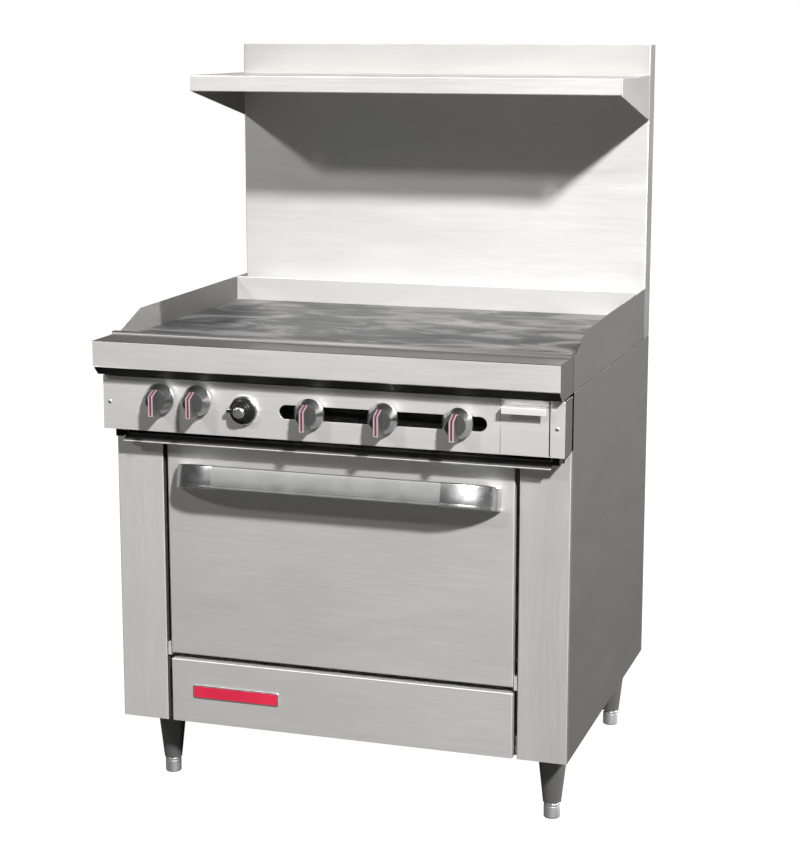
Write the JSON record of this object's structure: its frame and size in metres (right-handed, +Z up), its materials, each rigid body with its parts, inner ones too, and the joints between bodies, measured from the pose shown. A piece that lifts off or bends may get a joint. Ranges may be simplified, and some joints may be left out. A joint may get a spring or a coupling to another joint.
{
  "type": "commercial gas range",
  "caption": "Free-standing commercial gas range with a full-width griddle, a bottom-hinged oven, a control panel, a flue riser with a high shelf, and adjustable legs.",
  "frame": {"origin": "on the floor, at the centre of the footprint's box, under the feet", "axes": "+Z up, +X to the right as seen from the front, +Y to the back; the door and the knobs face -Y"},
  "size_m": [0.927, 0.896, 1.505],
  "materials": {
    "brushed_stainless": "brushed stainless sheet",
    "galvanised_steel": "galvanised or aluminised sheet",
    "black_paint": "matt black enamel",
    "griddle_steel": "ground steel plate with wavy rolling marks",
    "knob_metal": "satin die-cast metal",
    "satin_chrome": "satin chrome plate",
    "igniter_black": "black plastic with a chrome ring",
    "cast_burner": "cast iron",
    "brass_valve": "machined brass",
    "thermostat_body": "die-cast body",
    "gas_pipe": "black iron pipe",
    "aluminium_tube": "drawn tube",
    "oven_enamel": "blue-black speckled porcelain enamel",
    "insulation_wool": "mineral wool",
    "gasket_rope": "woven glass rope",
    "hinge_steel": "plated steel",
    "screw_steel": "stainless screws",
    "leg_metal": "brushed tapered steel",
    "foot_metal": "bright turned steel",
    "plate_red": "blank enamelled plate"
  },
  "bodies": {
    "root": {"back_splash": "brushed_stainless", "base_frame": "galvanised_steel", "burner_box": "galvanised_steel", "control_panel": "brushed_stainless", "cover_screws": "screw_steel", "door_springs": "hinge_steel", "flue_duct": "galvanised_steel", "flue_riser": "brushed_stainless", "front_rail": "brushed_stainless", "gas_inlet_pipe": "gas_pipe", "gas_valves": "brass_valve", "grease_trough": "brushed_stainless", "griddle_burners": "cast_burner", "griddle_plate": "griddle_steel", "high_shelf": "brushed_stainless", "igniter_bezel": "igniter_black", "left_cheek": "brushed_stainless", "left_front_stile": "brushed_stainless", "left_side_panel": "brushed_stainless", "leg_front_left": "leg_metal", "leg_front_right": "leg_metal", "leg_rear_left": "leg_metal", "leg_rear_right": "leg_metal", "manifold_pipe": "gas_pipe", "oven_burner": "cast_burner", "oven_deck": "oven_enamel", "oven_front_frame": "galvanised_steel", "oven_gas_tube": "aluminium_tube", "oven_insulation": "insulation_wool", "oven_liner": "oven_enamel", "oven_thermostat": "thermostat_body", "rack_guides": "satin_chrome", "rail_underside": "black_paint", "rear_panel": "galvanised_steel", "right_cheek": "brushed_stainless", "right_front_stile": "brushed_stainless", "right_side_panel": "brushed_stainless", "shelf_brackets": "brushed_stainless", "tray_runners": "galvanised_steel"},
    "oven_door": {"door_outer_skin": "brushed_stainless", "door_inner_panel": "galvanised_steel", "door_insulation": "insulation_wool", "door_gasket": "gasket_rope", "door_handle": "satin_chrome", "door_hinge_arms": "hinge_steel"},
    "thermostat_knob": {"thermostat_knob": "knob_metal"},
    "oven_valve_knob": {"oven_valve_knob": "knob_metal"},
    "griddle_knob_1": {"griddle_knob_1": "knob_metal"},
    "griddle_knob_2": {"griddle_knob_2": "knob_metal"},
    "griddle_knob_3": {"griddle_knob_3": "knob_metal"},
    "igniter_button": {"igniter_button": "satin_chrome"},
    "grease_drawer": {"grease_drawer": "brushed_stainless"},
    "crumb_tray": {"crumb_tray": "brushed_stainless"},
    "kick_panel": {"kick_panel": "brushed_stainless", "blank_plate": "plate_red"},
    "oven_rack": {"oven_rack": "satin_chrome"},
    "foot_front_left": {"foot_front_left": "foot_metal"},
    "foot_front_right": {"foot_front_right": "foot_metal"},
    "foot_rear_left": {"foot_rear_left": "foot_metal"},
    "foot_rear_right": {"foot_rear_right": "foot_metal"}
  },
  "joints": [
    {"name": "oven_door_hinge", "type": "hinge", "parent": "root", "child": "oven_door", "pos_m": [0, -0.328, 0.307], "axis": [1, 0, 0], "range_deg": [0, 90], "stiffness_Nm_per_rad": 5, "springref_deg": -34.38, "deforming": ["door_springs"]},
    {"name": "thermostat_knob_turn", "type": "hinge", "parent": "root", "child": "thermostat_knob", "pos_m": [-0.339, -0.396, 0.8335], "axis": [0, -1, 0], "range_deg": [0, 270]},
    {"name": "oven_valve_knob_turn", "type": "hinge", "parent": "root", "child": "oven_valve_knob", "pos_m": [-0.261, -0.396, 0.8335], "axis": [0, -1, 0], "range_deg": [0, 90]},
    {"name": "griddle_knob_1_turn", "type": "hinge", "parent": "root", "child": "griddle_knob_1", "pos_m": [-0.03, -0.396, 0.822], "axis": [0, -1, 0], "range_deg": [0, 90]},
    {"name": "griddle_knob_2_turn", "type": "hinge", "parent": "root", "child": "griddle_knob_2", "pos_m": [0.1165, -0.396, 0.822], "axis": [0, -1, 0], "range_deg": [0, 90]},
    {"name": "griddle_knob_3_turn", "type": "hinge", "parent": "root", "child": "griddle_knob_3", "pos_m": [0.2625, -0.396, 0.822], "axis": [0, -1, 0], "range_deg": [0, 90]},
    {"name": "igniter_press", "type": "slide", "parent": "root", "child": "igniter_button", "axis": [0, 1, 0], "range_m": [0, 0.004], "stiffness_N_per_m": 800},
    {"name": "grease_drawer_slide", "type": "slide", "parent": "root", "child": "grease_drawer", "axis": [0, -1, 0], "range_m": [0, 0.45]},
    {"name": "crumb_tray_slide", "type": "slide", "parent": "root", "child": "crumb_tray", "axis": [0, -1, 0], "range_m": [0, 0.5]},
    {"name": "kick_panel_pull", "type": "slide", "parent": "root", "child": "kick_panel", "axis": [0, -1, 0], "range_m": [0, 0.1]},
    {"name": "oven_rack_slide", "type": "slide", "parent": "root", "child": "oven_rack", "axis": [0, -1, 0], "range_m": [0, 0.02]},
    {"name": "foot_front_left_adjust", "type": "slide", "parent": "root", "child": "foot_front_left", "axis": [0, 0, -1], "range_m": [0, 0.035]},
    {"name": "foot_front_right_adjust", "type": "slide", "parent": "root", "child": "foot_front_right", "axis": [0, 0, -1], "range_m": [0, 0.035]},
    {"name": "foot_rear_left_adjust", "type": "slide", "parent": "root", "child": "foot_rear_left", "axis": [0, 0, -1], "range_m": [0, 0.035]},
    {"name": "foot_rear_right_adjust", "type": "slide", "parent": "root", "child": "foot_rear_right", "axis": [0, 0, -1], "range_m": [0, 0.035]}
  ]
}
